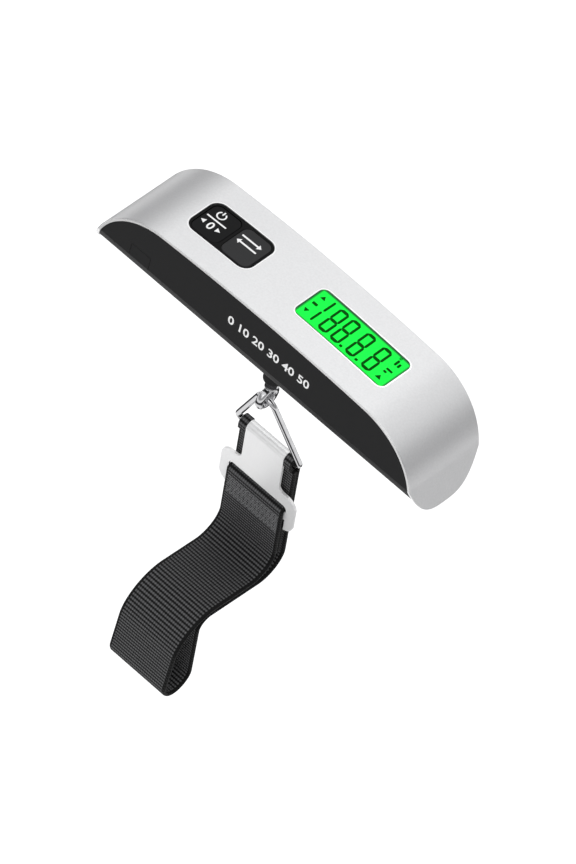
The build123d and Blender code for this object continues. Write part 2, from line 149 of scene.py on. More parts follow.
def tube(path, radius, sides, closed=False, side=None):
    # a round tube along path; side is a fixed direction across a flat path
    path = np.asarray(path, float)
    n = len(path)
    if closed:
        along = np.roll(path, -1, 0) - np.roll(path, 1, 0)
    else:
        along = np.gradient(path, axis=0)
    along /= np.linalg.norm(along, axis=1)[:, None]
    side = np.array(side if side is not None else (0, 1, 0), float)
    a = np.cross(along, side)
    a /= np.linalg.norm(a, axis=1)[:, None]
    b = np.cross(along, a)
    radius = np.broadcast_to(np.asarray(radius, float), (n,))
    turn = np.linspace(0, 2 * math.pi, sides, endpoint=False)
    ring = (a[:, None] * np.cos(turn)[None, :, None] + b[:, None] * np.sin(turn)[None, :, None])
    points = (path[:, None] + ring * radius[:, None, None]).reshape(-1, 3)
    return points, sleeve(n, sides, closed)


def plate(outline, place, thick, low=0.0):
    # a flat closed piece: outline is a loop of 2D points, and place puts (points, height) in 3D
    outline = np.asarray(outline, float)
    n = len(outline)
    points = np.r_[place(outline, low), place(outline, low + thick)]
    faces = [tuple(range(n))[::-1], tuple(range(n, 2 * n))]
    faces += [(i, (i + 1) % n, n + (i + 1) % n, n + i) for i in range(n)]
    return points, faces


def stroke(line, wide, place, thick, closed=False, low=0.0):
    # a printed line of even width as a closed piece
    line = np.asarray(line, float)
    if closed:
        along = np.roll(line, -1, 0) - np.roll(line, 1, 0)
    else:
        along = np.gradient(line, axis=0)
    along /= np.linalg.norm(along, axis=1)[:, None]
    side = np.c_[-along[:, 1], along[:, 0]] * wide / 2
    left, right, high = line + side, line - side, low + thick
    section = [place(left, low), place(right, low), place(right, high), place(left, high)]
    return np.stack(section, 1).reshape(-1, 3), sleeve(len(line), len(section), closed)


def arc(cx, cy, r, start, end, count=28):
    a = np.radians(np.linspace(start, end, count))
    return np.c_[cx + r * np.cos(a), cy + r * np.sin(a)]


def roundedBox(long, wide, r, count=10):
    # a loop round a rectangle with round corners, centred on the origin
    out = []
    for cx, cy, start in ((1, 1, 0), (-1, 1, 90), (-1, -1, 180), (1, -1, 270)):
        out.append(arc(cx * (long / 2 - r), cy * (wide / 2 - r), r, start, start + 90, count))
    return np.concatenate(out)


def link(tree, a, b):
    tree.links.new(a, b)


def give(tree, socket, value):
    # value is another node's output, or a constant
    if isinstance(value, bpy.types.NodeSocket):
        link(tree, value, socket)
    else:
        socket.default_value = value


def calc(tree, operation, *values):
    node = tree.nodes.new("ShaderNodeMath")
    node.operation = operation
    for socket, value in zip(node.inputs, values):
        give(tree, socket, value)
    return node.outputs[0]


def blendColors(tree, share, first, second):
    node = tree.nodes.new("ShaderNodeMix")
    node.data_type = "RGBA"
    for index, value in ((0, share), (6, first), (7, second)):
        give(tree, node.inputs[index], value)
    return node.outputs[2]


def remap(tree, value, start, end, first=0.0, last=1.0):
    # value from start to end becomes first to last
    node = tree.nodes.new("ShaderNodeMapRange")
    given = {"Value": value, "From Min": start, "From Max": end, "To Min": first, "To Max": last}
    for name, amount in given.items():
        give(tree, node.inputs[name], amount)
    return node.outputs[0]


def grainGroup():
    # one shared effect: slow mottling of colour and roughness, and a fine grain in the surface
    group = bpy.data.node_groups.new("surfaceGrain", "ShaderNodeTree")
    face = group.interface
    for name, kind, value in (("Color", "NodeSocketColor", (0.8, 0.8, 0.8, 1)),
                              ("Roughness", "NodeSocketFloat", 0.5),
                              ("Mottle Scale", "NodeSocketFloat", 60.0),
                              ("Mottle Amount", "NodeSocketFloat", 0.08),
                              ("Grain Scale", "NodeSocketFloat", 2500.0),
                              ("Grain Depth", "NodeSocketFloat", 0.2),
                              ("Stretch", "NodeSocketVector", (1, 1, 1))):
        socket = face.new_socket(name=name, in_out="INPUT", socket_type=kind)
        socket.default_value = value
    for name, kind in (("Color", "NodeSocketColor"), ("Roughness", "NodeSocketFloat"),
                       ("Normal", "NodeSocketVector")):
        face.new_socket(name=name, in_out="OUTPUT", socket_type=kind)
    make = group.nodes.new
    given, out = make("NodeGroupInput"), make("NodeGroupOutput")
    where = make("ShaderNodeTexCoord")
    stretch = make("ShaderNodeVectorMath")
    stretch.operation = "MULTIPLY"
    link(group, where.outputs["Object"], stretch.inputs[0])
    link(group, given.outputs["Stretch"], stretch.inputs[1])
    slow, fine = make("ShaderNodeTexNoise"), make("ShaderNodeTexNoise")
    slow.inputs["Detail"].default_value = 4
    fine.inputs["Detail"].default_value = 3
    for noise, scale in ((slow, "Mottle Scale"), (fine, "Grain Scale")):
        link(group, stretch.outputs[0], noise.inputs["Vector"])
        link(group, given.outputs[scale], noise.inputs["Scale"])
    shifted = calc(group, "MULTIPLY_ADD", fine.outputs["Fac"], 0.5, -0.75)
    centred = calc(group, "ADD", slow.outputs["Fac"], shifted)
    sway = calc(group, "MULTIPLY_ADD", centred, given.outputs["Mottle Amount"], 1.0)
    tint = make("ShaderNodeVectorMath")
    tint.operation = "SCALE"
    link(group, given.outputs["Color"], tint.inputs[0])
    link(group, sway, tint.inputs["Scale"])
    link(group, tint.outputs[0], out.inputs["Color"])
    link(group, calc(group, "MULTIPLY", given.outputs["Roughness"], sway), out.inputs["Roughness"])
    bump = make("ShaderNodeBump")
    bump.inputs["Distance"].default_value = 0.0001
    link(group, given.outputs["Grain Depth"], bump.inputs["Strength"])
    link(group, fine.outputs["Fac"], bump.inputs["Height"])
    link(group, bump.outputs["Normal"], out.inputs["Normal"])
    return group


surfaceGrain = grainGroup()


def finish(name, color, roughness, metallic=0.0, coat=0.0, mottle=(60.0, 0.08), grain=(2500.0, 0.2),
           stretch=(1, 1, 1), specular=0.5):
    mat = bpy.data.materials.new(name)
    mat.use_nodes = True
    tree = mat.node_tree
    shader = tree.nodes["Principled BSDF"]
    shader.inputs["Metallic"].default_value = metallic
    shader.inputs["Coat Weight"].default_value = coat
    shader.inputs["Coat Roughness"].default_value = 0.06
    shader.inputs["Specular IOR Level"].default_value = specular
    node = tree.nodes.new("ShaderNodeGroup")
    node.node_tree = surfaceGrain
    node.inputs["Color"].default_value = (*color, 1)
    node.inputs["Roughness"].default_value = roughness
    node.inputs["Mottle Scale"].default_value, node.inputs["Mottle Amount"].default_value = mottle
    node.inputs["Grain Scale"].default_value, node.inputs["Grain Depth"].default_value = grain
    node.inputs["Stretch"].default_value = stretch
    link(tree, node.outputs["Color"], shader.inputs["Base Color"])
    link(tree, node.outputs["Roughness"], shader.inputs["Roughness"])
    link(tree, node.outputs["Normal"], shader.inputs["Normal"])
    return mat


materials = {
    "cover": finish("satinCover", (0.72, 0.72, 0.725), 0.34, metallic=0.85,
                    mottle=(1400.0, 0.16), grain=(5200.0, 0.5)),
    "brightEdge": finish("brightCutEdge", (0.95, 0.95, 0.95), 0.16, metallic=1.0,
                         mottle=(400.0, 0.06), grain=(2600.0, 0.1)),
    "shell": finish("blackShell", (0.016, 0.016, 0.0165), 0.58, specular=0.12,
                    mottle=(70.0, 0.10), grain=(4200.0, 0.22)),
    "powerKey": finish("powerKeyPlastic", (0.005, 0.005, 0.0055), 0.5, specular=0.12,
                       mottle=(90.0, 0.12), grain=(3600.0, 0.12)),
    "unitKey": finish("unitKeyPlastic", (0.028, 0.028, 0.029), 0.5, specular=0.15,
                      mottle=(90.0, 0.12), grain=(3600.0, 0.12)),
    "keyFrame": finish("keyFramePlastic", (0.004, 0.004, 0.004), 0.5, specular=0.1,
                       mottle=(90.0, 0.12), grain=(3600.0, 0.12)),
    "chrome": finish("polishedChrome", (0.66, 0.66, 0.67), 0.10, metallic=1.0,
                     mottle=(420.0, 0.35), grain=(900.0, 0.02)),
    "steel": finish("brightPlateSteel", (0.95, 0.95, 0.95), 0.36, metallic=0.3,
                    mottle=(500.0, 0.06), grain=(1600.0, 0.015), stretch=(6, 1, 1)),
    "screw": finish("zincSteel", (0.55, 0.55, 0.53), 0.32, metallic=1.0,
                    mottle=(500.0, 0.2), grain=(2600.0, 0.15)),
    "alloy": finish("machinedAlloy", (0.66, 0.67, 0.69), 0.3, metallic=1.0,
                    mottle=(300.0, 0.12), grain=(1800.0, 0.12), stretch=(1, 8, 8)),
    "brass": finish("brassStrip", (0.72, 0.55, 0.26), 0.28, metallic=1.0,
                    mottle=(300.0, 0.2), grain=(2000.0, 0.12)),
    "board": finish("solderMask", (0.015, 0.16, 0.06), 0.35, coat=0.2,
                    mottle=(700.0, 0.35), grain=(1800.0, 0.2)),
    "innerPlastic": finish("mouldedPlastic", (0.035, 0.035, 0.036), 0.5,
                           mottle=(120.0, 0.12), grain=(3000.0, 0.2)),
    "paleStem": finish("paleStem", (0.62, 0.60, 0.54), 0.45,
                       mottle=(200.0, 0.08), grain=(2600.0, 0.15)),
    "panelGlass": finish("panelGlass", (0.30, 0.42, 0.32), 0.08,
                         mottle=(60.0, 0.05), grain=(900.0, 0.02), coat=0.6),
    "diffuser": finish("diffuser", (0.80, 0.86, 0.78), 0.55,
                       mottle=(300.0, 0.05), grain=(2400.0, 0.2)),
    "rubber": finish("stripRubber", (0.10, 0.09, 0.09), 0.7,
                     mottle=(2400.0, 0.5), grain=(4000.0, 0.3), stretch=(8, 1, 1)),
    "wire": finish("leadInsulation", (0.42, 0.02, 0.02), 0.4,
                   mottle=(300.0, 0.1), grain=(2600.0, 0.1)),
    "whitePrint": finish("whitePrint", (0.90, 0.90, 0.90), 0.5,
                         mottle=(1600.0, 0.08), grain=(5200.0, 0.25)),
    "displayInk": finish("displayInk", (0.0, 0.075, 0.002), 0.6, specular=0.05,
                         mottle=(900.0, 0.15), grain=(5200.0, 0.1)),
    "thread": finish("sewingThread", (0.24, 0.24, 0.245), 0.6,
                     mottle=(1800.0, 0.4), grain=(5200.0, 0.5)),
}


display = {
    "border": 0.0006,
    "fade": (-0.0009, -0.0001),
    "green": (0.0, 0.80, 0.035, 1),
    "coolGreen": (0.0, 0.74, 0.055, 1),
    # painted shade: the dark green the panel fades to at its edge
    "edgeShadeGreen": (0.004, 0.10, 0.02, 1),
    "cloudScale": 90.0,
    "glow": 0.5,
}


def displayMaterial():
    # a lit panel: a green that drifts a little in hue, with its border darkened by painted shade from
    # the window's recess
    mat = bpy.data.materials.new("litDisplay")
    mat.use_nodes = True
    tree = mat.node_tree
    shader = tree.nodes["Principled BSDF"]
    shader.inputs["Roughness"].default_value = 0.2
    shader.inputs["Specular IOR Level"].default_value = 0.15
    shader.inputs["Emission Strength"].default_value = display["glow"]
    where = tree.nodes.new("ShaderNodeTexCoord")
    parts = tree.nodes.new("ShaderNodeSeparateXYZ")
    link(tree, where.outputs["Object"], parts.inputs[0])
    low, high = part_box("lcd_window")
    past = []
    for axis, (a, b) in enumerate(zip(low[:2], high[:2])):
        off = calc(tree, "ABSOLUTE", calc(tree, "SUBTRACT", parts.outputs[axis], (a + b) / 2))
        past.append(calc(tree, "SUBTRACT", off, (b - a) / 2 - display["border"]))
    # painted shade: the panel darkens towards its border, where the recessed window's wall shades it
    edgeShade = remap(tree, calc(tree, "MAXIMUM", *past), *display["fade"])
    noise = tree.nodes.new("ShaderNodeTexNoise")
    noise.inputs["Scale"].default_value = display["cloudScale"]
    link(tree, where.outputs["Object"], noise.inputs["Vector"])
    hue = blendColors(tree, noise.outputs["Fac"], display["green"], display["coolGreen"])
    panel = blendColors(tree, edgeShade, hue, display["edgeShadeGreen"])
    link(tree, panel, shader.inputs["Base Color"])
    link(tree, panel, shader.inputs["Emission Color"])
    return mat


materials["display"] = displayMaterial()


webbing = {
    "width": 0.025,
    "thickness": 0.0012,
    "ribPitch": 0.0014,
    "yarnPitch": 0.0009,
    "yarnHeight": 0.16,
    "ribDepth": 0.00022,
    "fleckScale": 46.0,
    "fleckHeight": 0.8,
    "selvedge": (1.14, 1.19),  # centimetres from the middle, over which the ribs fade
    # the weave heights over which the colour goes from painted shade to painted highlight
    "highlightRange": (0.85, 1.75),
    "hollowShadeColor": (0.0015, 0.0015, 0.0016, 1),
    "fleckHighlightColor": (0.17, 0.17, 0.175, 1),
}


def webbingMaterial():
    # ribs across the strap with a finer yarn running along them, flat selvedges, and a colour of
    # painted light:
    # painted highlights on the raised yarn and flecks, painted shade in the hollows; U is across and V
    # along the strap, in centimetres
    mat = bpy.data.materials.new("ribbedWebbing")
    mat.use_nodes = True
    tree = mat.node_tree
    shader = tree.nodes["Principled BSDF"]
    shader.inputs["Roughness"].default_value = 0.6
    shader.inputs["Specular IOR Level"].default_value = 0.2
    shader.inputs["Sheen Weight"].default_value = 0.04
    shader.inputs["Sheen Roughness"].default_value = 0.4
    uv = tree.nodes.new("ShaderNodeUVMap")
    uv.uv_map = "UVMap"
    parts = tree.nodes.new("ShaderNodeSeparateXYZ")
    link(tree, uv.outputs[0], parts.inputs[0])
    across, along = parts.outputs[0], parts.outputs[1]
    ribTurn = calc(tree, "MULTIPLY", along, math.pi / webbing["ribPitch"] / 100)
    ribs = calc(tree, "ABSOLUTE", calc(tree, "SINE", ribTurn))
    yarnTurn = calc(tree, "MULTIPLY", across, 2 * math.pi / webbing["yarnPitch"] / 100)
    height = calc(tree, "MULTIPLY_ADD", calc(tree, "SINE", yarnTurn), webbing["yarnHeight"], ribs)
    flecks = tree.nodes.new("ShaderNodeTexNoise")
    flecks.inputs["Scale"].default_value = webbing["fleckScale"]
    flecks.inputs["Detail"].default_value = 6
    flecks.inputs["Roughness"].default_value = 0.75
    link(tree, uv.outputs[0], flecks.inputs["Vector"])
    rough = calc(tree, "MULTIPLY_ADD", flecks.outputs["Fac"], webbing["fleckHeight"], height)
    side = calc(tree, "ABSOLUTE", calc(tree, "SUBTRACT", across, webbing["width"] * 50))
    weave = calc(tree, "MULTIPLY", rough, remap(tree, side, *webbing["selvedge"], 1.0, 0.25))
    bump = tree.nodes.new("ShaderNodeBump")
    bump.inputs["Distance"].default_value = webbing["ribDepth"]
    bump.inputs["Strength"].default_value = 0.9
    link(tree, weave, bump.inputs["Height"])
    link(tree, bump.outputs["Normal"], shader.inputs["Normal"])
    # painted light: raised yarn and flecks painted lighter as highlights, hollows painted dark as
    # shade
    lit = remap(tree, weave, *webbing["highlightRange"])
    shade = blendColors(tree, lit, webbing["hollowShadeColor"], webbing["fleckHighlightColor"])
    link(tree, shade, shader.inputs["Base Color"])
    return mat


materials["webbing"] = webbingMaterial()

wears = {
    "top_cover": "cover",
    "upper_shell": "shell", "belly_case": "shell", "battery_door": "shell",
    "button_frame": "keyFrame",
    "power_key": "powerKey",
    "unit_key": "unitKey",
    "lcd_window": "display",
    "lcd_frame": "innerPlastic", "battery_holder": "innerPlastic",
    "tact_switches": "innerPlastic", "controller_chip": "innerPlastic",
    "power_stem": "paleStem", "unit_stem": "paleStem",
    "lcd_glass": "panelGlass",
    "backlight": "diffuser",
    "zebra_strips": "rubber",
    "circuit_board": "board", "strain_gauges": "board",
    "board_screws": "screw", "housing_screws": "screw", "load_cell_screws": "screw",
    "holder_screws": "screw", "thrust_washer": "screw", "eye_nut": "screw",
    "coin_cell": "screw",
    "load_cell": "alloy",
    "gauge_leads": "wire", "battery_leads": "wire",
    "battery_contacts": "brass", "boss_bushing": "brass",
    "hook_eye": "chrome", "triangle_ring": "chrome",
    "hook_plate": "steel",
    "webbing_strap": "webbing",
}
for name, obj in nodes.items():
    obj.data.materials.clear()
    obj.data.materials.append(materials[wears[name]])
print("materials", len(bpy.data.materials))


# Camera: a long lens from the near right, turned a little on its axis
camera = {
    "azimuth": 28.48,
    "elevation": 47.89,
    "roll": 18.6,
    "distance": 3.0,
    "lens": 392.9,
    "aimRight": 0.00278,
    "aimUp": -0.02284,
}
az, el, roll = (math.radians(camera[k]) for k in ("azimuth", "elevation", "roll"))
toCamera = Vector((math.sin(az) * math.cos(el), -math.cos(az) * math.cos(el), math.sin(el)))
flatRight = Vector((math.cos(az), math.sin(az), 0))
flatUp = toCamera.cross(flatRight)
lensRight = math.cos(roll) * flatRight + math.sin(roll) * flatUp
lensUp = math.cos(roll) * flatUp - math.sin(roll) * flatRight
aim = camera["aimRight"] * lensRight + camera["aimUp"] * lensUp
lens = bpy.data.cameras.new("camera")
lens.lens, lens.sensor_width, lens.sensor_fit = camera["lens"], 36, "AUTO"
lens.clip_start, lens.clip_end = 0.1, 30
eyeOfCamera = bpy.data.objects.new("camera", lens)
bpy.context.scene.collection.objects.link(eyeOfCamera)
turn = Matrix((lensRight, lensUp, toCamera)).transposed().to_4x4()
eyeOfCamera.matrix_world = Matrix.Translation(aim + camera["distance"] * toCamera) @ turn
bpy.context.scene.camera = eyeOfCamera
bpy.context.scene.view_settings.view_transform = "Standard"

# Light: a bright even room with three soft panels, and darker bands that bright metal picks up
room = {
    "skyStrength": 1.0,
    "skyColor": (0.97, 0.975, 0.98),
    "groundColor": (0.96, 0.96, 0.965),
    "lowColor": (0.04, 0.04, 0.042),
    "bandColor": (0.38, 0.38, 0.385),
    "stops": ((0.09, "groundColor"), (0.12, "lowColor"), (0.22, "lowColor"), (0.26, "groundColor"),
              (0.36, "groundColor"), (0.44, "bandColor"), (0.66, "bandColor"), (0.77, "skyColor")),
    "floorZ": -4.2,
    "floorSize": 80.0,
    "floorGlow": 0.34,
}
world = bpy.data.worlds.new("studio")
bpy.context.scene.world = world
world.use_nodes = True
sky = world.node_tree
background = sky.nodes["Background"]
background.inputs["Strength"].default_value = room["skyStrength"]
direction = sky.nodes.new("ShaderNodeTexCoord")
skyParts = sky.nodes.new("ShaderNodeSeparateXYZ")
link(sky, direction.outputs["Generated"], skyParts.inputs[0])
ramp = sky.nodes.new("ShaderNodeValToRGB")
for index, (position, color) in enumerate(room["stops"]):
    stops = ramp.color_ramp.elements
    stop = stops[index] if index < 2 else stops.new(position)
    stop.position = position
    stop.color = (*room[color], 1)
link(sky, calc(sky, "MULTIPLY_ADD", skyParts.outputs["Z"], 0.5, 0.5), ramp.inputs[0])
seen = sky.nodes.new("ShaderNodeLightPath")  # the bands are for reflections only
plainRoom = blendColors(sky, seen.outputs["Is Camera Ray"], ramp.outputs[0], (*room["skyColor"], 1))
link(sky, plainRoom, background.inputs["Color"])


# Soft panels: where each one is, what it faces, its size, and its power in watts
panels = {
    "overhead": ((-0.6, 0.5, 2.0), (0, 0, 0), (1.6, 1.2), 5),
    "frontFill": ((0.8, -1.8, 0.9), (0, 0, -0.02), (1.2, 1.2), 3),
    "leftStrip": ((-1.8, -0.3, 0.8), (0, 0, 0), (0.4, 1.6), 3),
}
for name, (place, towards, size, power) in panels.items():
    lamp = bpy.data.lights.new(name, "AREA")
    lamp.shape, lamp.size, lamp.size_y, lamp.energy = "RECTANGLE", size[0], size[1], power
    obj = bpy.data.objects.new(name, lamp)
    bpy.context.scene.collection.objects.link(obj)
    obj.location = place
    obj.rotation_euler = (Vector(towards) - Vector(place)).to_track_quat("-Z", "Y").to_euler()

floorMesh = bpy.data.meshes.new("floor")
half = room["floorSize"] / 2
corners = [(x * half, y * half, room["floorZ"]) for x, y in ((-1, -1), (1, -1), (1, 1), (-1, 1))]
floorMesh.from_pydata(corners, [], [(0, 1, 2, 3)])
floorPiece = bpy.data.objects.new("floor", floorMesh)
bpy.context.scene.collection.objects.link(floorPiece)
paleFloor = finish("paleFloor", (0.95, 0.95, 0.95), 0.8, mottle=(3.0, 0.01), grain=(40.0, 0.02))
floorShader = paleFloor.node_tree.nodes["Principled BSDF"]
floorShader.inputs["Emission Color"].default_value = (1, 1, 1, 1)
floorShader.inputs["Emission Strength"].default_value = room["floorGlow"]
floorMesh.materials.append(paleFloor)
floorPiece.visible_glossy = False  # bright metal picks up the room in its place
print("camera and light")


# Cover trim: bright-cut strips along both edges of the bent sheet, and round its two windows
trim = {
    "proud": 0.00005,
    "chamfer": 0.00022,
    "inward": 0.0002,
    "lowest": 0.0012,
    "rimWide": 0.00045,
    "rimProud": 0.00006,
    "count": 120,
}


def edgeStrip(side):
    # a strip carried along the whole arch; its section is a hook over the sheet's edge: out to the
    # side wall, down over the sheet's thickness. Points are (in from the arch, in from the wall).
    proud, chamfer, inward = trim["proud"], trim["chamfer"], trim["inward"]
    deep = body["coverThickness"] * 0.98
    section = ((-proud * 0.4, chamfer), (chamfer, -proud), (deep, -proud), (deep, inward),
               (chamfer * 1.2, inward))
    rows = []
    for inset, offset in section:
        right = archLine(inset, trim["count"])
        line = np.r_[(right * (-1, 1))[::-1], right[1:]]
        wall = np.where(line[:, 1] > body["edgeHeight"], halfWidth(line[:, 1]),
                        halfWidth(body["edgeHeight"])
                        * np.clip(line[:, 1] / body["edgeHeight"], 0, 1) ** (1 / body["bellyPower"]))
        rows.append(np.c_[line[:, 0], side * (wall - offset), line[:, 1]])
    keep = rows[0][:, 2] > trim["lowest"]
    rows = np.array([r[keep] for r in rows])
    points = rows.transpose(1, 0, 2).reshape(-1, 3)
    return points, sleeve(rows.shape[1], len(rows))


def onTop(inset):
    # puts (x, y) on the arch's top, as far in as inset; height is up from there
    def place(outline, height):
        return np.c_[outline[:, 0], outline[:, 1], archHeight(outline[:, 0], inset) + height]
    return place


def onSide(outline, height):
    # puts (x, z) on the near side wall; height is out of it
    return np.c_[outline[:, 0], -(halfWidth(outline[:, 1]) - body["sideStep"] + height), outline[:, 1]]


windows = {
    "lcd": (0.02246, 0.0392, 0.0157, 0.0025),
    "keys": (-0.0305, 0.0269, 0.0166, 0.004),
}
rimParts = []
for middle, long, wide, corner in windows.values():
    line = roundedBox(long + trim["rimWide"], wide + trim["rimWide"], corner + trim["rimWide"] / 2, 12)
    line = spaced(np.r_[line, line[:1]], 181)[:-1] + (middle, 0)
    rimParts.append(stroke(line, trim["rimWide"], onTop(0), trim["rimProud"], closed=True))
edgeParts = [edgeStrip(-1), edgeStrip(1)]
for name, parts in (("cover_trim", edgeParts), ("window_rims", rimParts)):
    makeMesh(name, *join(parts), "housing", "satin_cover", materials["brightEdge"], smooth=False)
print("cover trim")


# Display marks: four seven-segment figures after a one, with points between them, and small signs
figures = {
    "lefts": (0.0121, 0.01735, 0.0240, 0.0310),
    "width": 0.00395,
    "half": 0.0062,
    "across": 0.0012,
    "upright": 0.00085,
    "gap": 0.00006,
    "foot": 0.00022,
    "head": 0.00060,
    "one": ((0.0094, 0.0003, 0.0095, 0.0062), (0.0091, -0.0058, 0.0092, -0.0003)),
    "oneWide": 0.0008,
    "dashCorner": 0.0002,
    # (long, wide, x, y): two points, the minus, and the small signs at the right end
    "dashes": ((0.00105, 0.00095, 0.02235, -0.0056), (0.00105, 0.00095, 0.02915, -0.0056),
               (0.0020, 0.0011, 0.0056, 0.0004), (0.0008, 0.0026, 0.0380, 0.0044),
               (0.0008, 0.0018, 0.0393, 0.0040), (0.0024, 0.0008, 0.0386, 0.0001),
               (0.0012, 0.0008, 0.0380, -0.0014)),
    # (x, y, size, way up)
    "pointers": ((0.0058, 0.0044, 0.00095, 1), (0.0054, -0.0038, 0.00095, -1),
                 (0.0382, -0.0046, 0.00105, 1)),
    "ring": (0.0377, 0.0067, 0.0004),
    "ringLine": 0.0002,
    "inset": 0.0003,
    "low": -0.00001,
    "thick": 0.00012,
}


def bar(x0, y0, x1, y1, wide):
    # a bar with pointed ends
    a, b = np.array((x0, y0)), np.array((x1, y1))
    along = (b - a) / np.linalg.norm(b - a)
    side = np.array((-along[1], along[0])) * wide / 2
    tip = along * wide / 2
    return np.array([a - tip * 0.2, a + tip + side, b - tip + side,
                     b + tip * 0.2, b - tip - side, a + tip - side])


def eight(left):
    f = figures
    x0, x1 = left + f["upright"] / 2, left + f["width"] - f["upright"] / 2
    y1 = f["half"] - f["across"] / 2
    out = [bar(x0 + f["gap"], y, x1 - f["gap"], y, f["across"]) for y in (-y1, 0, y1)]
    for x in (x0, x1):
        out += [bar(x, f["foot"], x, f["half"] - f["head"], f["upright"]),
                bar(x, f["head"] - f["half"], x, -f["foot"], f["upright"])]
    return out


def triangle(x, y, size, way):
    foot = y - way * size * 0.7
    return np.array([(x - size, foot), (x + size, foot), (x, y + way * size)])


ink = [o for left in figures["lefts"] for o in eight(left)]
ink += [bar(*ends, figures["oneWide"]) for ends in figures["one"]]
for long, wide, x, y in figures["dashes"]:
    ink.append(roundedBox(long, wide, figures["dashCorner"], 4) + (x, y))
ink += [triangle(*given) for given in figures["pointers"]]
onLens = onTop(figures["inset"])
inkParts = [plate(o, onLens, figures["thick"], figures["low"]) for o in ink]
ringLine = arc(*figures["ring"], 0, 360, 17)[:-1]
inkParts.append(stroke(ringLine, figures["ringLine"], onLens, figures["thick"], closed=True))
makeMesh("display_marks", *join(inkParts), "housing", "display", materials["displayInk"], smooth=False)
print("display marks")


# Printed signs: a standby sign over a bar and a zero on one key, two arrows on the other, and a
# plain row of load figures on the near side
signs = {
    "line": 0.00052,
    "thick": 0.00004,
    "low": -0.00001,
    "powerInset": 0.00035,
    "unitInset": 0.0001,
    "standby": (-0.0384, 0.0040, 0.00155, 122, 418),
    # (long, wide, corner, points in a corner), (x, y): the standby sign's pin and the bar under it
    "pins": (((0.00052, 0.0017, 0.00018, 5), (-0.0384, 0.0052)),
             ((0.0082, 0.00062, 0.0003, 6), (-0.0379, 0.0010))),
    # (x, y, way) of the triangles beside the zero
    "pointers": ((-0.0410, -0.0019, -1), (-0.0348, -0.0019, 1)),
    "pointerSize": 0.0010,
    "zeroStart": (-0.0390, -0.0036),
    "zeroHeight": 0.0033,
    "zeroWeight": 0.00008,
    # (from x, to x, y) of the two arrows
    "arrows": ((-0.0286, -0.0204, 0.0031), (-0.0204, -0.0286, 0.0004)),
    "arrowLine": 0.0007,
    "arrowHead": 0.0012,
    "figureRow": "0 10 20 30 40 50",
    "figureHeight": 0.0036,
    "figureStart": (-0.0130, 0.0188),
    "figureWeight": 0.00009,
}


def lettering(row, height, place, start, weight):
    # plain figures as a closed mesh; height is that of a figure
    curve = bpy.data.curves.new("figures", "FONT")
    curve.body, curve.size, curve.offset = row, height / 0.7, weight  # a figure is 0.7 of the size
    curve.extrude, curve.resolution_u = signs["thick"] / 2, 3
    drawn = bpy.data.objects.new("figures", curve)
    bpy.context.scene.collection.objects.link(drawn)
    bpy.context.view_layer.update()
    mesh = bpy.data.meshes.new_from_object(drawn.evaluated_get(bpy.context.evaluated_depsgraph_get()))
    bpy.data.objects.remove(drawn)
    bm = bmesh.new()
    bm.from_mesh(mesh)
    bmesh.ops.remove_doubles(bm, verts=bm.verts, dist=1e-6)
    bm.to_mesh(mesh)
    bm.free()
    flat = np.empty(len(mesh.vertices) * 3)
    mesh.vertices.foreach_get("co", flat)
    flat = flat.reshape(-1, 3)
    faces = [tuple(p.vertices) for p in mesh.polygons]
    bpy.data.meshes.remove(mesh)
    points = np.empty_like(flat)
    levels = np.sign(flat[:, 2])
    for level in np.unique(levels):
        at = levels == level
        points[at] = place(flat[at][:, :2] + start, signs["low"] + (level + 1) / 2 * signs["thick"])
    return points, faces


def arrow(x0, x1, y):
    # a straight arrow from x0 to x1
    wide, head = signs["arrowLine"], signs["arrowHead"]
    way = math.copysign(1, x1 - x0)
    neck = x1 - way * head * 1.15
    return np.array([(x0, y - wide / 2), (neck, y - wide / 2), (neck, y - head), (x1, y),
                     (neck, y + head), (neck, y + wide / 2), (x0, y + wide / 2)])


onPower, onUnit = onTop(signs["powerInset"]), onTop(signs["unitInset"])
standby = arc(*signs["standby"], 30)
powerSign = [stroke(standby, signs["line"], onPower, signs["thick"], low=signs["low"])]
shapes = [roundedBox(*given) + middle for given, middle in signs["pins"]]
for x, y, way in signs["pointers"]:
    shapes.append(triangle(0, 0, signs["pointerSize"], 1)[:, ::-1] * (way, 1) + (x, y))
powerSign += [plate(o, onPower, signs["thick"], signs["low"]) for o in shapes]
powerSign.append(lettering("0", signs["zeroHeight"], onPower, signs["zeroStart"], signs["zeroWeight"]))
unitSign = [plate(arrow(*ends), onUnit, signs["thick"], signs["low"]) for ends in signs["arrows"]]
loadFigures = lettering(signs["figureRow"], signs["figureHeight"], onSide, signs["figureStart"],
                        signs["figureWeight"])
for name, parts, rideOn, slot in (("power_sign", join(powerSign), "power_button", "key_plastic"),
                                  ("unit_sign", join(unitSign), "unit_button", "key_plastic"),
                                  ("load_figures", loadFigures, "housing", "black_shell")):
    makeMesh(name, *parts, rideOn, slot, materials["whitePrint"], smooth=False)
print("printed signs")


def roundedLine(points, radii, step):
    # straight runs joined by arcs that touch them: each corner's arc starts where its tangent
    # length, radius times the tangent of half the turn, ends on each run
    points = np.asarray(points, float)
    out = [points[:1]]
    for i, r in enumerate(radii, 1):
        a, b = points[i - 1] - points[i], points[i + 1] - points[i]
        a, b = a / np.linalg.norm(a), b / np.linalg.norm(b)
        corner = math.acos(np.clip(a @ b, -1, 1))
        reach = r / math.tan(corner / 2)
        centre = points[i] + (a + b) / np.linalg.norm(a + b) * r / math.sin(corner / 2)
        start, end = points[i] + a * reach - centre, points[i] + b * reach - centre
        sweep = math.atan2(start[0] * end[1] - start[1] * end[0], start @ end)
        t = np.linspace(0, sweep, max(4, int(abs(sweep) * 12)))
        out.append(centre + np.c_[start[0] * np.cos(t) - start[1] * np.sin(t),
                                  start[0] * np.sin(t) + start[1] * np.cos(t)])
    out.append(points[-1:])
    line = np.concatenate(out)
    length = np.linalg.norm(np.diff(line, axis=0), axis=1).sum()
    return spaced(line, int(length / step) + 2)


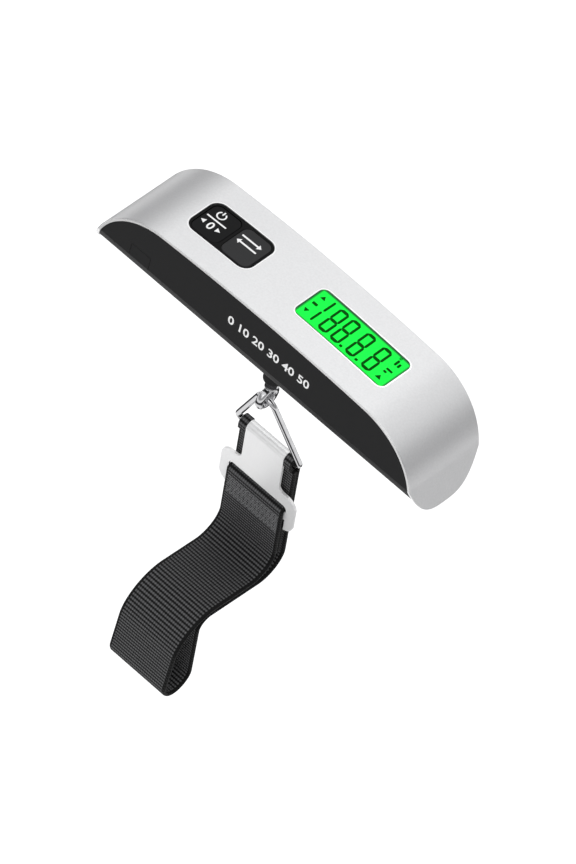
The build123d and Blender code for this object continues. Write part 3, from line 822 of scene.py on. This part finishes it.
# Swivel eye: a polished ring on its shaft, with a flared neck where they meet
swivel = {
    "ringRadius": 0.0036,
    "wire": 0.0014,
    "ringZ": -0.018,
    "topZ": 0.0229,
    # (height over the ring, radius) of the turned neck, and of its end
    "neck": ((-0.0004, 0.0009), (0.0004, 0.0015), (0.0010, 0.0019), (0.0016, 0.0021),
             (0.0022, 0.0020)),
    "end": ((-0.0003, 0.0020), (0, 0.0017)),
}


def eyePiece():
    # a torus about X, and a turned profile about Z that flares into it
    turn = np.linspace(0, 2 * math.pi, 97)[:-1]
    across = swivel["ringRadius"] * np.sin(turn)
    path = np.c_[0 * turn, across, swivel["ringZ"] + swivel["ringRadius"] * np.cos(turn)]
    ring = tube(path, swivel["wire"], 28, closed=True, side=(1, 0, 0))
    profile = [(swivel["ringZ"] + swivel["ringRadius"] + z, r) for z, r in swivel["neck"]]
    profile += [(swivel["topZ"] + z, r) for z, r in swivel["end"]]
    z, r = np.array(profile).T
    t = np.linspace(z[0], z[-1], 160)
    shaft = tube(np.c_[0 * t, 0 * t, t], np.interp(t, z, r), 40, side=(0, 1, 0))
    return join([ring, shaft])


eye = makeMesh("swivel_eye", *eyePiece(), "eye", "bright_steel", materials["chrome"])
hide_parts("hook_eye")

# Triangular ring: one round wire, butted in the middle of its base, hanging back from the eye
triangleRing = {
    "wire": 0.0011,
    "half": 0.0142,
    "tall": 0.0375,
    "topRound": 0.0036,
    "cornerRound": 0.0016,
    "hangZ": -0.01905,
    "swing": 20.0,
    "buttGap": 0.00025,
    "step": 0.00025,
}


def ringPiece():
    t = triangleRing
    halfAngle = math.atan(t["half"] / t["tall"])
    above = t["topRound"] / math.sin(halfAngle) - t["topRound"]
    drop = t["tall"] - above
    butt = t["buttGap"] / 2
    corners = [(butt, -drop), (t["half"], -drop), (0, above), (-t["half"], -drop), (-butt, -drop)]
    flat = roundedLine(corners, (t["cornerRound"], t["topRound"], t["cornerRound"]), t["step"])
    back = math.radians(t["swing"])
    path = np.c_[flat[:, 0], -flat[:, 1] * math.sin(back), t["hangZ"] + flat[:, 1] * math.cos(back)]
    return tube(path, t["wire"], 24, side=(0, math.cos(back), math.sin(back)))


wireRing = makeMesh("wire_triangle", *ringPiece(), "ring", "bright_steel", materials["chrome"])
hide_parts("triangle_ring")
print("eye and ring")


# Webbing: one strip, looped through the ring's base, run down behind and into a hanging loop, and
# back up round the plate's bar, where its end is sewn down. Lengths are in millimetres.
sling = {
    "tilt": 9.9,
    "baseY": 10.5801,
    "baseZ": -48.1186,
    "halfWide": 12.5,
    "nearOut": 6,
    "notch": 8.65,
    "notchReach": 6.5,
    "notchRun": 26,
    "pinch": 11.7,
    "pinchReach": 4.5,
    "columns": 9,
    "bunching": 1.6,
    "selvedge": 0.06,
    "edgeThin": 0.55,
    "stationsPerRib": 6,
    "relief": 0.15,
    "stitchTop": 28.0,
    # the strap's corners, by (out, down) at both ends and (y, z) between, and their radii
    "barEnd": ((1.52, 50.8), (1.52, 35.8), (0.45, 33.2), (0.45, 25.65), (2.85, 25.65)),
    "hanging": ((18.2, -109.0), (-26.0, -105.9), (-25.5, -144.3), (-12.0, -144.3), (-17.4, -108.5),
                (23.4, -111.4)),
    "ringEnd": ((-1.8, -1.8), (1.8, -1.8), (1.8, 2.2), (-0.47, 6.0), (-0.47, 23.85)),
    "radii": (2.0, 2.0, 1.15, 1.15, 9.0, 15.0, 7.0, 6.0, 4.5, 9.0, 1.75, 1.75, 1.0, 1.5),
}


def fromBase(out, along):
    # (y, z) of a point that lies out from the plate, and down along it from the ring's base
    lean = math.radians(sling["tilt"])
    return (sling["baseY"] - out * math.cos(lean) + along * math.sin(lean),
            sling["baseZ"] - out * math.sin(lean) - along * math.cos(lean))


def webbingPath():
    # from the sewn end up round the bar, down into the loop and back up to the ring's base
    points = [fromBase(*p) for p in sling["barEnd"]] + list(sling["hanging"])
    points += [fromBase(*p) for p in sling["ringEnd"]]
    return roundedLine(points, sling["radii"], webbing["ribPitch"] * 1000 / sling["stationsPerRib"])


def webbingStrap():
    # (u, v) run across and along: the path's point plus u times the half width in X, and half the
    # thickness out along the path's normal, with ribs as the size of a sine of v
    path = webbingPath()
    step = np.r_[0, np.cumsum(np.linalg.norm(np.diff(path, axis=0), axis=1))]
    lean = math.radians(sling["tilt"])
    away = path - (sling["baseY"], sling["baseZ"])
    out = away @ (-math.cos(lean), -math.sin(lean))
    along = away @ (math.sin(lean), -math.cos(lean))
    near, reach = np.abs(out) < sling["nearOut"], np.abs(along)
    inner = np.where(near & (reach < sling["notchReach"]), sling["notch"], 0.0)
    outer = np.where(near & (reach < sling["pinchReach"]), sling["pinch"], sling["halfWide"])
    tangent = np.gradient(path, axis=0)
    tangent /= np.linalg.norm(tangent, axis=1)[:, None]
    normal = np.c_[-tangent[:, 1], tangent[:, 0]]
    ribs = np.abs(np.sin(math.pi * step / (webbing["ribPitch"] * 1000)))
    share = 1 - (1 - np.linspace(0, 1, sling["columns"])) ** sling["bunching"]
    n, m = len(path), sling["columns"]
    selvedge = np.clip((1 - share) / sling["selvedge"], 0, 1)
    parts, widths, lengths = [], [], []
    for side in (1, -1):
        x = side * (inner[:, None] + (outer - inner)[:, None] * share)
        for face in (1, -1):
            thick = webbing["thickness"] * 500 - sling["relief"] * (1 - ribs[:, None]) * selvedge
            thick = thick * np.where(share > 0.99, sling["edgeThin"], 1)
            y = path[:, :1] + face * normal[:, :1] * thick
            z = path[:, 1:] + face * normal[:, 1:] * thick
            parts.append(np.dstack([x, y, z]).reshape(-1, 3))
            widths.append((x + sling["halfWide"]).ravel())
            lengths.append(np.broadcast_to(step[:, None], x.shape).ravel())
    points = np.concatenate(parts) / 1000
    faces = []
    block = n * m
    index = np.arange(block).reshape(n, m)
    for half in range(2):
        top, low = index + 2 * half * block, index + (2 * half + 1) * block
        for sheet in (top, low):
            cells = np.stack([sheet[:-1, :-1], sheet[:-1, 1:], sheet[1:, 1:], sheet[1:, :-1]], -1)
            faces.append(cells.reshape(-1, 4))
        faces.append(np.stack([top[:-1, -1], low[:-1, -1], low[1:, -1], top[1:, -1]], -1))
        split = (inner[:-1] > 0) | (inner[1:] > 0)
        faces.append(np.stack([top[:-1, 0], low[:-1, 0], low[1:, 0], top[1:, 0]], -1)[split])
        for row in (0, -1):
            faces.append(np.stack([top[row, :-1], low[row, :-1], low[row, 1:], top[row, 1:]], -1))
    uv = np.c_[np.concatenate(widths), np.concatenate(lengths)] / 10
    return points, np.concatenate(faces).tolist(), uv, step[-1] / 1000


points, faces, uv, strapLength = webbingStrap()
strap = makeMesh("webbing_loop", points, faces, "sling", "webbing", materials["webbing"], uv=uv)
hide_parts("webbing_strap")
print("webbing", len(strap.data.polygons), "faces,", round(strapLength, 4), "m")

# Stitching: rows of zigzag thread that hold the webbing's end down, just under the plate
stitching = {
    "rows": 9,
    "first": 1.6,  # millimetres down the strap's end from below the bar's fold
    "spacing": 1.05,
    "halfLong": 11.2,
    "stitch": 0.85,
    "sway": 0.42,
    "rowShift": 1.3,
    "uneven": 0.05,
    "thread": 0.11,
    "front": 3.37,
    "lift": 0.09,
}


def stitchRows():
    # each row is a thin tube in a zigzag across the strap, lifted off the cloth by a sine
    t = stitching
    count = int(2 * t["halfLong"] / t["stitch"]) * 4 + 1
    parts = []
    draw = np.random.default_rng(7)
    for row in range(t["rows"]):
        x = np.linspace(-t["halfLong"], t["halfLong"], count)
        phase = x / t["stitch"] * math.pi + row * t["rowShift"]
        zigzag = np.arcsin(np.sin(phase)) / (math.pi / 2)
        along = sling["stitchTop"] + t["first"] + row * t["spacing"] + t["sway"] * zigzag
        along += draw.normal(0, t["uneven"], count)
        y, z = fromBase(t["front"] + t["lift"] * np.abs(np.sin(phase)), along)
        parts.append(tube(np.c_[x, y, z] / 1000, t["thread"] / 1000, 6, side=(0, 0.2, 1)))
    return join(parts)


stitches = makeMesh("strap_stitches", *stitchRows(), "sling", "webbing", materials["thread"])
print("stitches")
